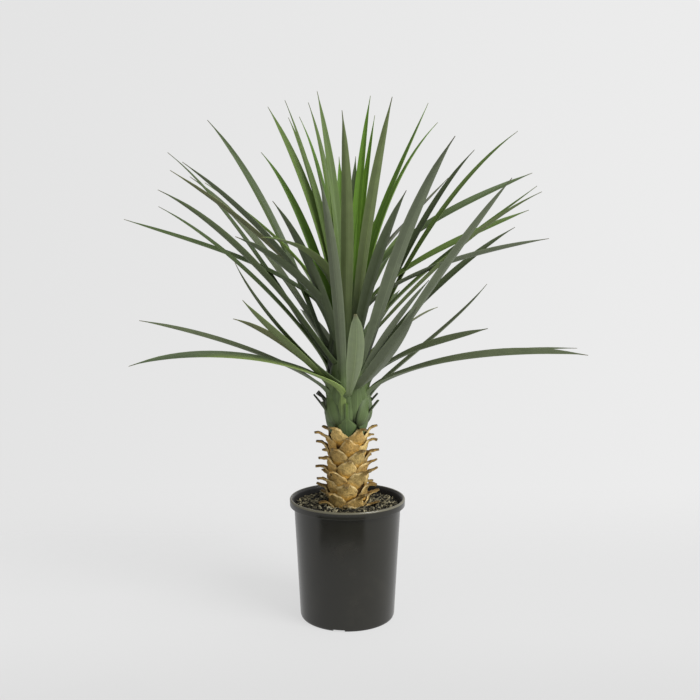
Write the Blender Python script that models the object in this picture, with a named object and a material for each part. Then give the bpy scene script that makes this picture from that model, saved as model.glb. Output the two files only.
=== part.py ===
"""A potted beaked yucca: a moulded nursery pot, its soil, a trunk clad in the bases of
shed leaves, and a head of sword leaves. Metres, +Z up. The origin is on the floor under
the middle of the pot, and the plant's front faces -Y."""

import math
import random

import bmesh
import bpy
from mathutils import Matrix, Vector

# Gap left between pieces that touch
GAP = 0.0003

# Pot: a 200 mm nursery pot, 208 mm tall
ROUND_STEPS = 36
POT_HEIGHT = 0.208
RIM_RADIUS = 0.100
SKIRT_BOTTOM = 0.1955
WALL_TOP_RADIUS = 0.0924
BASE_RADIUS = 0.0822
WALL = 0.002
FLOOR = 0.0025
NOTCH_WIDTH = 0.020
NOTCH_HEIGHT = 0.0032
NOTCH_INNER_RADIUS = 0.066
FIRST_NOTCH_ANGLE = math.radians(-100)
NOTCH_COUNT = 4

# Soil, filled to 11 mm under the rim, with bark chips standing out of it
SOIL_TOP = 0.1965
SOIL_HOLE_RADIUS = 0.028
SOIL_HOLE_DEPTH = 0.070
SOIL_RINGS = (0.085, 0.077, 0.069, 0.060, 0.051, 0.043)
CHIP_RISE = 0.0045
CHIP_SHIFT = 0.003

# Trunk, and the bases of shed leaves that cover it in one shallow helix
TRUNK_TOP = 0.322
TRUNK_RADIUS = 0.029
TRUNK_STEPS = 14
SCALES_PER_TURN = 5.5
SCALE_DROP = 0.00342
SCALE_COUNT = 36
TOP_SCALE_HEIGHT = 0.3212
TOP_SCALE_ANGLE = math.radians(-122)

# The base of a shed leaf, from its foot up: (rise, lift off the stem, half width, cup,
# thickness)
SCALE = (
    (-0.0185, -0.0010, 0.0040, 0.0006, 0.0040),
    (-0.0080, 0.0012, 0.0150, 0.0050, 0.0070),
    (0.0020, 0.0034, 0.0178, 0.0060, 0.0062),
    (0.0095, 0.0064, 0.0125, 0.0026, 0.0046),
    (0.0128, 0.0100, 0.0050, 0.0006, 0.0036),
)

# A stub's half width at its cut end, and how steeply a base spreads just above its foot
STUB_HALF_WIDTH = 0.0032
FOOT_SPREAD = 0.6

# Crown: the green stem inside the leaves, as (height, radius)
CROWN_STEM = (
    (TRUNK_TOP + GAP, 0.0262),
    (0.3340, 0.0275),
    (0.3460, 0.0300),
    (0.4000, 0.0290),
    (0.4600, 0.0240),
    (0.5200, 0.0150),
    (0.5700, 0.0060),
)
CLASP_LENGTH = 0.060
CLASP_LIFT = 0.006
LOWEST_CLASP = 0.336

# A leaf's clasping base, from its foot up: (part of the clasp's length below the fork,
# lift off the stem, half width, cup, thickness)
CLASP = (
    (1.00, 0.0000, 0.0060, 0.0010, 0.0030),
    (0.66, 0.0029, 0.0130, 0.0048, 0.0048),
    (0.30, 0.0048, 0.0132, 0.0052, 0.0044),
)
# The base of a leaf above this height is hidden among the others
HIDDEN_FORK = 0.445
HIDDEN_CLASP = ((0.30, -0.0060, 0.0090, 0.0030, 0.0040),)

# How far the leaf's curve lies from its fold towards its edges, as a part of its cup
BLADE_BALANCE = 0.5

# How far along the curve a blade has turned from its grip's direction to its own
GRIP_FADE = 0.35

# The lowest leaves wrap round the stem: their feet are turned further than their forks
WRAPPED_FORK = 0.390
WRAP_ANGLE = math.radians(28)

# Its free blade: (place along the curve, half width as a part of half the leaf's width,
# cup as a part of that half width, thickness)
BLADE = (
    (0.00, 1.04, 0.40, 0.0040),
    (0.14, 0.84, 0.45, 0.0032),
    (0.32, 0.92, 0.43, 0.0028),
    (0.52, 1.00, 0.41, 0.0025),
    (0.72, 0.84, 0.39, 0.0022),
    (0.88, 0.46, 0.36, 0.0018),
    (1.00, 0.05, 0.30, 0.0012),
)

# Each leaf: height of its fork from the stem, how far it first rises as a part of its
# length, its tip (x, y, z), how far it bows up and sweeps sideways as parts of its
# length, its width, how far it twists by its tip, in degrees, and how many degrees its
# grip is turned about the stem from the way its tip points
LEAVES = (
    (0.391, 0.11, -0.351, -0.090, 0.446, 0.200, 0.00, 0.019, -60, 62),
    (0.386, 0.12, 0.395, -0.060, 0.461, 0.140, 0.00, 0.021, 60, -16),
    (0.391, -0.01, 0.012, -0.270, 0.538, -0.035, 0.04, 0.024, 0, 0),
    (0.388, 0.11, -0.340, -0.060, 0.518, 0.085, 0.00, 0.018, -40, 21),
    (0.388, 0.12, 0.407, 0.050, 0.463, 0.083, 0.05, 0.014, 40, 0),
    (0.418, -0.04, -0.181, -0.100, 0.523, 0.111, 0.00, 0.022, 35, 0),
    (0.402, 0.20, 0.230, -0.060, 0.505, 0.087, 0.00, 0.021, 60, 0),
    (0.398, 0.11, -0.163, -0.120, 0.553, -0.022, 0.00, 0.022, 25, 0),
    (0.420, 0.12, 0.175, 0.200, 0.530, 0.106, 0.00, 0.020, -40, 0),
    (0.374, 0.12, 0.252, 0.090, 0.576, -0.050, 0.00, 0.017, 0, 0),
    (0.410, 0.00, -0.180, -0.080, 0.613, -0.113, 0.01, 0.018, 10, 40),
    (0.406, -0.04, 0.102, -0.210, 0.546, -0.057, 0.00, 0.025, -45, 0),
    (0.419, 0.12, 0.129, -0.100, 0.584, 0.045, 0.00, 0.022, 0, 0),
    (0.400, 0.14, 0.020, 0.350, 0.460, 0.14, 0.00, 0.024, 20, 0),
    (0.405, 0.14, -0.100, 0.340, 0.520, 0.08, 0.00, 0.022, -25, 0),
    (0.415, 0.14, 0.110, 0.360, 0.560, 0.06, 0.00, 0.022, 15, 0),
    (0.515, 0.18, 0.327, -0.060, 0.651, 0.104, 0.00, 0.016, -55, 0),
    (0.500, 0.19, -0.407, 0.110, 0.693, 0.055, -0.08, 0.017, -40, 0),
    (0.428, 0.08, 0.295, 0.060, 0.676, 0.099, -0.02, 0.018, 50, 0),
    (0.517, 0.18, 0.319, 0.060, 0.706, 0.077, 0.01, 0.018, 60, 0),
    (0.528, 0.27, -0.125, -0.200, 0.647, 0.220, 0.03, 0.026, -20, 0),
    (0.503, 0.12, -0.169, -0.150, 0.650, 0.132, 0.02, 0.022, 25, 0),
    (0.430, 0.10, -0.332, 0.060, 0.712, 0.107, 0.00, 0.015, -30, 0),
    (0.444, 0.00, -0.294, -0.110, 0.724, 0.143, 0.00, 0.017, 60, 30),
    (0.479, 0.01, 0.314, -0.060, 0.726, 0.108, 0.00, 0.014, -45, 0),
    (0.418, -0.04, 0.254, -0.120, 0.741, 0.021, -0.04, 0.021, -50, -8),
    (0.466, 0.18, 0.337, 0.080, 0.750, 0.036, 0.02, 0.015, 20, 0),
    (0.493, 0.20, -0.285, -0.060, 0.760, 0.093, 0.00, 0.016, 45, 0),
    (0.485, 0.18, -0.259, -0.090, 0.769, 0.100, 0.00, 0.017, 40, 0),
    (0.472, 0.14, 0.090, -0.140, 0.720, 0.11, 0.00, 0.024, 0, 0),
    (0.482, 0.07, -0.114, -0.130, 0.705, 0.107, 0.00, 0.023, 0, 0),
    (0.420, 0.13, -0.041, -0.170, 0.739, 0.040, 0.03, 0.019, 0, 0),
    (0.438, -0.03, 0.157, -0.190, 0.793, 0.100, -0.01, 0.024, -40, 0),
    (0.440, 0.14, -0.030, 0.360, 0.620, 0.08, 0.00, 0.022, 10, 0),
    (0.455, 0.14, 0.070, 0.350, 0.670, 0.07, 0.00, 0.022, -20, 0),
    (0.465, 0.14, -0.110, 0.330, 0.630, 0.07, 0.00, 0.022, 20, 0),
    (0.503, 0.26, -0.243, 0.020, 0.749, 0.101, 0.00, 0.018, 10, 0),
    (0.536, 0.23, 0.343, 0.150, 0.781, 0.093, -0.01, 0.019, 55, 0),
    (0.456, 0.05, -0.293, 0.150, 0.774, 0.114, 0.00, 0.020, -20, 0),
    (0.444, -0.02, -0.327, 0.120, 0.814, 0.097, 0.02, 0.017, 0, 0),
    (0.524, 0.30, 0.187, 0.150, 0.772, 0.033, 0.04, 0.020, -50, 0),
    (0.473, 0.02, 0.222, 0.060, 0.810, 0.096, 0.00, 0.019, 35, 0),
    (0.450, 0.10, 0.297, 0.060, 0.842, 0.138, 0.00, 0.014, 45, 0),
    (0.485, 0.14, 0.120, 0.310, 0.690, 0.07, 0.00, 0.022, -15, 0),
    (0.495, 0.14, -0.060, 0.310, 0.740, 0.07, 0.00, 0.022, 15, 0),
    (0.520, 0.14, 0.065, 0.180, 0.720, 0.08, 0.00, 0.020, -20, 0),
    (0.520, 0.18, -0.020, 0.200, 0.771, 0.020, 0.00, 0.020, 0, 0),
    (0.498, 0.10, -0.159, 0.140, 0.817, 0.126, 0.00, 0.024, 5, 0),
    (0.520, 0.07, -0.016, 0.160, 0.812, 0.009, 0.00, 0.020, 0, 0),
    (0.530, 0.14, 0.015, 0.140, 0.810, 0.05, 0.00, 0.018, 0, 0),
    (0.455, 0.02, -0.244, 0.060, 0.861, 0.103, 0.00, 0.018, -60, 0),
    (0.480, 0.14, -0.008, -0.090, 0.849, 0.03, 0.03, 0.021, 0, 0),
    (0.525, 0.15, 0.156, 0.050, 0.855, 0.146, 0.00, 0.017, 5, 0),
    (0.500, 0.14, 0.069, -0.120, 0.863, 0.060, 0.00, 0.020, -10, 0),
    (0.515, 0.23, -0.146, 0.140, 0.899, 0.093, 0.00, 0.019, -20, 0),
    (0.530, 0.12, -0.113, 0.200, 0.891, 0.047, -0.03, 0.015, 0, 0),
    (0.530, 0.14, -0.114, 0.130, 0.909, 0.066, 0.00, 0.015, 30, 0),
    (0.530, 0.07, -0.089, 0.150, 0.883, 0.056, -0.06, 0.015, 30, 0),
    (0.530, 0.12, 0.050, 0.140, 0.884, 0.035, 0.00, 0.014, -30, 0),
    (0.528, 0.27, 0.146, 0.120, 0.902, 0.029, 0.01, 0.019, -20, 0),
    (0.530, 0.17, -0.071, 0.120, 0.903, 0.075, -0.02, 0.015, 20, 0),
    (0.530, 0.30, -0.055, 0.120, 0.923, -0.003, -0.04, 0.017, 0, 0),
    (0.530, 0.13, 0.042, 0.140, 0.919, -0.008, 0.03, 0.017, -20, 0),
)

# Leaves cut short at the neck: the direction each points, in degrees, its height, and how
# far its stub reaches out and up
SHIELD_LIFT = 0.55
SHIELD_FLOOR = 0.331
CUT_LEAVES = (
    (-91, 0.3375, 0.0040, 0.025),
    (-30, 0.3400, 0.0240, 0.027),
    (-150, 0.3420, 0.0120, 0.020),
    (35, 0.3420, 0.0140, 0.020),
    (92, 0.3400, 0.0140, 0.020),
    (148, 0.3430, 0.0140, 0.020),
    (7, 0.3560, 0.0160, 0.018),
    (176, 0.3460, 0.0220, 0.026),
    (-170, 0.3640, 0.0150, 0.013),
    (65, 0.3530, 0.0140, 0.020),
    (118, 0.3550, 0.0140, 0.020),
)


UP = Vector((0, 0, 1))


def plain_material(name, colour, roughness):
    material = bpy.data.materials.new(name)
    material.use_nodes = True
    shader = material.node_tree.nodes["Principled BSDF"]
    shader.inputs["Base Color"].default_value = (*colour, 1.0)
    shader.inputs["Roughness"].default_value = roughness
    shader.inputs["Metallic"].default_value = 0.0
    return material


def new_object(name, bm, material=None):
    """Turns a bmesh into a smooth-shaded object in the scene."""
    mesh = bpy.data.meshes.new(name)
    bm.to_mesh(mesh)
    bm.free()
    mesh.shade_smooth()
    mesh.set_sharp_from_angle(angle=math.radians(40))
    if material:
        mesh.materials.append(material)
    thing = bpy.data.objects.new(name, mesh)
    bpy.context.scene.collection.objects.link(thing)
    return thing


def turned(profile, steps):
    """Spins a profile of (radius, height) points, from axis to axis, about Z."""
    bm = bmesh.new()
    points = [bm.verts.new((radius, 0, height)) for radius, height in profile]
    edges = [bm.edges.new(pair) for pair in zip(points, points[1:])]
    bmesh.ops.spin(
        bm,
        geom=points + edges,
        cent=(0, 0, 0),
        axis=(0, 0, 1),
        angle=2 * math.pi,
        steps=steps,
        use_merge=True,
    )
    bmesh.ops.remove_doubles(bm, verts=bm.verts, dist=1e-6)
    bmesh.ops.recalc_face_normals(bm, faces=bm.faces)
    return bm


def between(table, height):
    """Reads a radius from a table of (height, radius), straight between its rows."""
    for (low, at_low), (high, at_high) in zip(table, table[1:]):
        if height <= high:
            part = max(0.0, (height - low) / (high - low))
            return at_low + (at_high - at_low) * part
    return table[-1][1]


def directions(angle):
    """The outward and the sideways direction at an angle round the stem."""
    outward = Vector((math.cos(angle), math.sin(angle), 0))
    return outward, UP.cross(outward)


def add_blade(bm, spine, half_widths, cups, thicknesses, sides, balance):
    """Skins a channelled blade along a spine, which lies in its fold or, with some balance,
    between fold and edges. Each section is a shallow V of four points:
    left edge, inner fold, right edge, outer fold. The faces of both sides are split along
    the same diagonals, so they never cross."""
    sections = []
    last = len(spine) - 1
    for i, centre in enumerate(spine):
        along = (spine[min(i + 1, last)] - spine[max(i - 1, 0)]).normalized()
        across = (sides[i] - along * sides[i].dot(along)).normalized()
        inward = along.cross(across)
        edge = inward * cups[i] * (1 - balance)
        fold = centre - inward * cups[i] * balance
        half = inward * thicknesses[i] / 2
        corners = (
            centre - across * half_widths[i] + edge,
            fold + half,
            centre + across * half_widths[i] + edge,
            fold - half,
        )
        sections.append([bm.verts.new(corner) for corner in corners])
    for low, high in zip(sections, sections[1:]):
        for edge, fold in ((0, 1), (2, 1), (2, 3), (0, 3)):
            bm.faces.new((low[edge], low[fold], high[fold]))
            bm.faces.new((low[edge], high[fold], high[edge]))
    for left, inner, right, outer in (sections[0], sections[-1]):
        bm.faces.new((left, inner, outer))
        bm.faces.new((right, outer, inner))


def blade_mesh(*blade):
    bm = bmesh.new()
    add_blade(bm, *blade)
    bmesh.ops.recalc_face_normals(bm, faces=bm.faces)
    return bm


def keep_outer_skin(mesh):
    """Fills the hollows that close between fused blades, and drops loose scraps: of the
    skins in the mesh, only the one that reaches furthest stays."""
    bm = bmesh.new()
    bm.from_mesh(mesh)
    skins = []
    unseen = set(bm.faces)
    while unseen:
        front = [unseen.pop()]
        skin = list(front)
        while front:
            touching = {f for edge in front.pop().edges for f in edge.link_faces}
            fresh = touching & unseen
            unseen -= fresh
            front += fresh
            skin += fresh
        skins.append(skin)
    skins.sort(key=lambda skin: max(f.calc_center_median().length for f in skin))
    for skin in skins[:-1]:
        bmesh.ops.delete(bm, geom=skin, context="FACES")
    bm.to_mesh(mesh)
    bm.free()


def grown_together(name, stem, blades, material):
    """Unites a stem with every blade that grows from it, and removes the loose blades."""
    body = new_object(name, stem, material)
    group = bpy.data.collections.new(name + "_blades")
    bpy.context.scene.collection.children.link(group)
    for i, blade in enumerate(blades):
        loose = new_object(f"{name}_blade_{i}", blade)
        bpy.context.scene.collection.objects.unlink(loose)
        group.objects.link(loose)
    union = body.modifiers.new("grown together", "BOOLEAN")
    union.operation = "UNION"
    union.operand_type = "COLLECTION"
    union.collection = group
    union.solver = "MANIFOLD"
    bpy.context.view_layer.update()
    graph = bpy.context.evaluated_depsgraph_get()
    united = bpy.data.meshes.new_from_object(body.evaluated_get(graph))
    body.modifiers.remove(union)
    keep_outer_skin(united)
    body.data = united
    for loose in list(group.objects):
        bpy.data.objects.remove(loose)
    bpy.data.collections.remove(group)
    return body


def clear_scene():
    for thing in list(bpy.data.objects):
        bpy.data.objects.remove(thing)


def wall_radius(height):
    """Radius of the pot's outer wall, which tapers evenly from lip to base."""
    part = (height - 0.004) / (SKIRT_BOTTOM - 0.004)
    return BASE_RADIUS + (WALL_TOP_RADIUS - BASE_RADIUS) * part


def make_pot():
    inner_top = wall_radius(SKIRT_BOTTOM) - WALL
    profile = (
        (0, 0),
        (0.0782, 0),
        (0.0810, 0.0012),
        (BASE_RADIUS, 0.0040),
        (WALL_TOP_RADIUS, SKIRT_BOTTOM),
        (0.0930, 0.2035),
        (0.0975, 0.2035),
        (0.0977, SKIRT_BOTTOM),
        (0.0998, SKIRT_BOTTOM),
        (RIM_RADIUS, 0.1965),
        (RIM_RADIUS, 0.2045),
        (0.0993, 0.2068),
        (0.0972, POT_HEIGHT),
        (0.0950, 0.2076),
        (0.0935, 0.2062),
        (0.0914, 0.2035),
        (inner_top, SKIRT_BOTTOM),
        (0.0802, 0.0060),
        (0.0784, FLOOR),
        (0, FLOOR),
    )
    plastic = plain_material("black plastic", (0.045, 0.045, 0.038), 0.38)
    pot = new_object("pot", turned(profile, ROUND_STEPS), plastic)

    notches = bmesh.new()
    length = RIM_RADIUS - NOTCH_INNER_RADIUS
    for i in range(NOTCH_COUNT):
        made = bmesh.ops.create_cube(notches, size=1)["verts"]
        bmesh.ops.scale(notches, vec=(length, NOTCH_WIDTH, 2 * NOTCH_HEIGHT), verts=made)
        shift = (NOTCH_INNER_RADIUS + length / 2, 0, 0)
        bmesh.ops.translate(notches, vec=shift, verts=made)
        turn = Matrix.Rotation(FIRST_NOTCH_ANGLE + i * math.tau / NOTCH_COUNT, 3, "Z")
        bmesh.ops.rotate(notches, cent=(0, 0, 0), matrix=turn, verts=made)
    cutter = new_object("notch_cutter", notches)
    cutter.hide_render = True
    cutter.display_type = "WIRE"
    cut = pot.modifiers.new("drain notches", "BOOLEAN")
    cut.operation = "DIFFERENCE"
    cut.object = cutter
    cut.solver = "EXACT"
    return pot


def make_soil():
    """Soil down to the pot's floor, with a plain hole for the trunk's foot."""
    chance = random.Random(7)
    side = wall_radius(SOIL_TOP) - WALL - GAP
    profile = [
        (0, FLOOR + GAP),
        (0.0781, FLOOR + GAP),
        (0.0798, 0.0060),
        (side, SOIL_TOP - 0.0010),
    ]
    profile += [(radius, SOIL_TOP) for radius in SOIL_RINGS]
    profile += [
        (0.035, SOIL_TOP - 0.0010),
        (SOIL_HOLE_RADIUS, SOIL_TOP - 0.0010),
        (SOIL_HOLE_RADIUS, SOIL_TOP - SOIL_HOLE_DEPTH),
        (0, SOIL_TOP - SOIL_HOLE_DEPTH),
    ]
    bm = turned(profile, ROUND_STEPS)
    chips = [v for v in bm.verts if abs(v.co.z - SOIL_TOP) < 1e-5]
    for vert in chips:
        vert.co.x += chance.uniform(-CHIP_SHIFT, CHIP_SHIFT)
        vert.co.y += chance.uniform(-CHIP_SHIFT, CHIP_SHIFT)
        vert.co.z += chance.uniform(-0.4, 1.0) * CHIP_RISE
    mix = plain_material("potting mix", (0.022, 0.020, 0.015), 0.9)
    return new_object("soil", bm, mix)


def cut_base(angle, height, radius_at, stand, reach, rise, floor):
    """The base of a cut leaf: it clasps the stem, lifts off it by a part of its full lift
    and ends in a stub. What would reach below the floor is cut off level with it, and
    just above the floor it lies flat on the stem."""
    outward, side = directions(angle)
    rows = [(up, lift * stand, *section) for up, lift, *section in SCALE]
    top_rise, top_lift, half_width, cup, thickness = rows[-1]
    for part in (0.5, 1.0):
        rows.append((
            top_rise + rise * part,
            top_lift + reach * part,
            half_width + (STUB_HALF_WIDTH - half_width) * part,
            cup,
            thickness,
        ))
    while height + rows[1][0] < floor:
        rows.pop(0)
    spine = []
    for up, lift, _, _, _ in rows:
        level = max(height + up, floor)
        flat = (level - floor) * FOOT_SPREAD - 0.001
        spine.append(outward * (radius_at(level) + min(lift, flat)) + UP * level)
    _, _, half_widths, cups, thicknesses = zip(*rows)
    sides = [side] * len(spine)
    return blade_mesh(spine, half_widths, cups, thicknesses, sides, 0.0)


def trunk_radius(_height):
    return TRUNK_RADIUS


def make_trunk():
    chance = random.Random(3)
    foot = SOIL_TOP - SOIL_HOLE_DEPTH + GAP
    profile = (
        (0, foot),
        (SOIL_HOLE_RADIUS - GAP, foot),
        (SOIL_HOLE_RADIUS - GAP, SOIL_TOP),
        (TRUNK_RADIUS, SOIL_TOP + 0.004),
        (TRUNK_RADIUS, TRUNK_TOP - 0.006),
        (TRUNK_RADIUS - 0.003, TRUNK_TOP),
        (0, TRUNK_TOP),
    )
    scales = []
    for i in range(SCALE_COUNT):
        angle = TOP_SCALE_ANGLE + i * math.tau / SCALES_PER_TURN
        height = TOP_SCALE_HEIGHT - i * SCALE_DROP
        reach = chance.uniform(0.010, 0.015)
        rise = chance.uniform(0.000, 0.007)
        clear = SOIL_TOP + 0.002
        scales.append(cut_base(angle, height, trunk_radius, 1.0, reach, rise, clear))
    wood = plain_material("dry leaf bases", (0.50, 0.35, 0.14), 0.8)
    return grown_together("trunk", turned(profile, TRUNK_STEPS), scales, wood)


def stem_radius(height):
    return between(CROWN_STEM, height)


def leaf(fork, rise, tip_x, tip_y, tip_z, bow, sweep, width, twist, turn):
    """A leaf that clasps the stem below its fork, then arches out to its tip."""
    bearing = math.atan2(tip_y, tip_x) + math.radians(turn)
    outward, grip_side = directions(bearing)
    wraps = turn != 0 and fork < WRAPPED_FORK
    slant = math.copysign(WRAP_ANGLE, turn) if wraps else 0.0
    clasp_length = min(CLASP_LENGTH, fork - LOWEST_CLASP)
    spine = []
    sides = []
    sections = []
    for part, lift, *section in CLASP if fork < HIDDEN_FORK else HIDDEN_CLASP:
        height = fork - clasp_length * part
        around, across = directions(bearing + slant * part)
        spine.append(around * (stem_radius(height) + lift) + UP * height)
        sides.append(across)
        sections.append(section)
    root = outward * (stem_radius(fork) + CLASP_LIFT) + UP * fork
    tip = Vector((tip_x, tip_y, tip_z))
    chord = tip - root
    length = chord.length
    side = UP.cross(chord).normalized()
    above = chord.cross(side).normalized()
    steep = root + UP * rise * length + outward * 0.03 * length
    bend = root + chord * 0.62 + above * bow * length + side * sweep * length
    for t, part_width, cup, thickness in BLADE:
        s = 1 - t
        spine.append(
            root * s**3 + steep * 3 * s * s * t + bend * 3 * s * t * t + tip * t**3
        )
        twisted = Matrix.Rotation(math.radians(twist) * t**1.5, 3, chord) @ side
        sides.append(grip_side.lerp(twisted, min(1.0, t / GRIP_FADE)))
        half_width = part_width * width / 2
        sections.append((half_width, cup * half_width, thickness))
    half_widths, cups, thicknesses = zip(*sections)
    return blade_mesh(spine, half_widths, cups, thicknesses, sides, BLADE_BALANCE)


def make_crown():
    profile = [(0, CROWN_STEM[0][0])]
    profile += [(radius, height) for height, radius in CROWN_STEM]
    profile.append((0, CROWN_STEM[-1][0] + 0.004))
    blades = [leaf(*row) for row in LEAVES]
    for degrees, height, reach, rise in CUT_LEAVES:
        angle = math.radians(degrees)
        blades.append(
            cut_base(angle, height, stem_radius, SHIELD_LIFT, reach, rise, SHIELD_FLOOR)
        )
    green = plain_material("living leaf", (0.085, 0.135, 0.050), 0.5)
    return grown_together("leaf_crown", turned(profile, TRUNK_STEPS), blades, green)


def main():
    clear_scene()
    make_pot()
    make_soil()
    make_trunk()
    make_crown()


main()
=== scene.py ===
# %% [markdown]
# # A potted beaked yucca
# This lesson dresses a plain CAD model of a house plant: a black nursery pot, its bark
# compost, a trunk clad in the bases of shed leaves and a head of sword leaves. The CAD
# model gives every place and size, in metres with +Z up. Each step below replaces one of
# its pieces with a finer one of the same form, and paints it with noise and arithmetic
# instead of pictures.

# %% Load the CAD model
import math
import random

import bmesh
import bpy
from mathutils import Matrix, Vector, noise


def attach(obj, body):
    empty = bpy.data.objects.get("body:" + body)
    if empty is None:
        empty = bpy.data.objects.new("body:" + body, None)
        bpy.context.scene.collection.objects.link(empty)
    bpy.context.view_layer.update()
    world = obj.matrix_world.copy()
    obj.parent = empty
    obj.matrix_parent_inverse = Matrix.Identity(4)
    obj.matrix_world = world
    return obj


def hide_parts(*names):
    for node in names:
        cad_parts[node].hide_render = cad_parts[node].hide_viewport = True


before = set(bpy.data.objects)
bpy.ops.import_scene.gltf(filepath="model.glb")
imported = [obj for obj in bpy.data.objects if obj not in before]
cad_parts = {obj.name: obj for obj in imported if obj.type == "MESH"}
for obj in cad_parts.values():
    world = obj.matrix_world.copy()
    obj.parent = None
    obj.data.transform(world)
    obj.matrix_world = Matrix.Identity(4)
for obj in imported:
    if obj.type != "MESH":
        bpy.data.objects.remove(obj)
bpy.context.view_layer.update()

print("CAD pieces:", ", ".join(sorted(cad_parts)))

# %% [markdown]
# ## Colours that can be written as seen
# Blender mixes light in linear values, but a colour as it is read off is in display values
# from 0 to 255. One small function turns the second into the first, so that every paint below
# can be written as it looks. The Standard view keeps those colours as they are, where the
# default view would grey them.

# %% A colour as seen
def seen(red, green, blue):
    """Turns display values of 0 to 255 into Blender's linear ones."""
    linear = []
    for value in (red, green, blue):
        part = value / 255
        linear.append(part / 12.92 if part <= 0.04045 else ((part + 0.055) / 1.055) ** 2.4)
    return tuple(linear)


scene = bpy.context.scene
scene.view_settings.view_transform = "Standard"
print("A leaf green is", [round(value, 3) for value in seen(90, 120, 60)])

# %% [markdown]
# ## Arithmetic on a surface
# Procedural paint is arithmetic: a noise value times a streak, one minus a mask. Adding a
# Math node for each sign is slow to write and to read, so a small class wraps a node's
# socket and gives it Python's own operators. Every other node comes from one method,
# `Finish.node`, which takes the node's type, its settings and what goes into it.

# %% A socket that arithmetic works on
class Value:
    """A number that varies over a surface. Arithmetic on it adds Math nodes."""

    def __init__(self, finish, socket):
        self.finish = finish
        self.socket = socket

    def maths(self, operation, *terms):
        settings = {"operation": operation}
        return self.finish.node("ShaderNodeMath", settings, dict(enumerate(terms)))

    def __add__(self, other):
        return self.maths("ADD", self, other)

    def __sub__(self, other):
        return self.maths("SUBTRACT", self, other)

    def __rsub__(self, other):
        return self.maths("SUBTRACT", other, self)

    def __mul__(self, other):
        return self.maths("MULTIPLY", self, other)

    def __abs__(self):
        return self.maths("ABSOLUTE", self)

    __radd__ = __add__
    __rmul__ = __mul__

    def step(self, low, high):
        """Rises smoothly from 0 where the value is low to 1 where it is high."""
        settings = {"interpolation_type": "SMOOTHSTEP"}
        inputs = {"Value": self, "From Min": low, "From Max": high}
        return self.finish.node("ShaderNodeMapRange", settings, inputs)


# %% A node tree, with one way to add a node
class Nodes:
    """The node tree of a material or of the world."""

    def __init__(self, owner):
        owner.use_nodes = True
        self.nodes = owner.node_tree.nodes
        self.links = owner.node_tree.links

    def put(self, socket, value):
        if isinstance(value, Value):
            self.links.new(value.socket, socket)
        elif isinstance(value, (tuple, list)) and socket.type == "RGBA":
            socket.default_value = (*value[:3], 1.0)
        else:
            socket.default_value = value

    def node(self, kind, settings=None, inputs=None, output=0):
        made = self.nodes.new(kind)
        for name, value in (settings or {}).items():
            setattr(made, name, value)
        for name, value in (inputs or {}).items():
            self.put(made.inputs[name], value)
        return Value(self, made.outputs[output])

    def shader_of(self, name):
        return Value(self, self.nodes[name].outputs[0])


# %% One finish, which is one material
class Finish(Nodes):
    """A material with one Principled shader, and the patterns that feed it."""

    def __init__(self, name, roughness, specular=0.5):
        self.material = bpy.data.materials.new(name)
        super().__init__(self.material)
        self.shader = self.nodes["Principled BSDF"]
        self.shader.inputs["Roughness"].default_value = roughness
        self.shader.inputs["Specular IOR Level"].default_value = specular

    def object_place(self):
        return self.node("ShaderNodeTexCoord", output="Object")

    def attribute(self, name, output="Fac"):
        return self.node("ShaderNodeAttribute", {"attribute_name": name}, output=output)

    def stretched(self, place, scale):
        return self.node("ShaderNodeMapping", None, {"Vector": place, "Scale": scale})

    def grain(self, place, size, detail=3.0, roughness=0.55):
        """Noise whose lumps are about this size, in the units of the place."""
        inputs = {"Vector": place, "Scale": 1 / size, "Detail": detail, "Roughness": roughness}
        return self.node("ShaderNodeTexNoise", None, inputs)

    def mixed(self, part, first, second):
        """Blends two colours. Math nodes would turn them grey."""
        settings = {"data_type": "RGBA"}
        return self.node("ShaderNodeMix", settings, {0: part, 6: first, 7: second}, 2)

    def brightened(self, colour, amount):
        """Makes a colour lighter or darker by a varying amount, 1 leaving it as it is."""
        inputs = {"Color": colour, "Value": amount}
        return self.node("ShaderNodeHueSaturation", None, inputs)

    def bumped(self, height, depth):
        """Lets a height, from 0 to 1, catch the light as relief of this depth in metres."""
        inputs = {"Height": height, "Distance": depth}
        self.put(self.shader.inputs["Normal"], self.node("ShaderNodeBump", None, inputs))

    def coloured(self, colour):
        self.put(self.shader.inputs["Base Color"], colour)

    def roughened(self, roughness):
        self.put(self.shader.inputs["Roughness"], roughness)


print("Finishes can now be written as sums")

# %% [markdown]
# ## Handing a finished piece over
# Each new piece becomes an object at the origin whose place is in its mesh, as the CAD pieces
# are. It rides on the plant's one body and stands in for a CAD piece. Smooth shading with a
# sharp limit keeps leaves soft and their cut rims crisp.

# %% A piece that stands in for a CAD piece
def finished(name, bm, finish, node, sharp_degrees=50):
    mesh = bpy.data.meshes.new(name)
    bm.to_mesh(mesh)
    bm.free()
    mesh.shade_smooth()
    mesh.set_sharp_from_angle(angle=math.radians(sharp_degrees))
    mesh.materials.append(finish.material)
    piece = bpy.data.objects.new(name, mesh)
    scene.collection.objects.link(piece)
    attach(piece, "root")
    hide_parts(node)
    triangles = sum(len(face.vertices) - 2 for face in mesh.polygons)
    low, high = (Vector(map(pick, zip(*(v.co for v in mesh.vertices)))) for pick in (min, max))
    size = " x ".join(f"{1000 * length:.0f}" for length in high - low)
    print(f"{name}: {triangles} triangles, {size} mm")
    return piece


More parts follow.
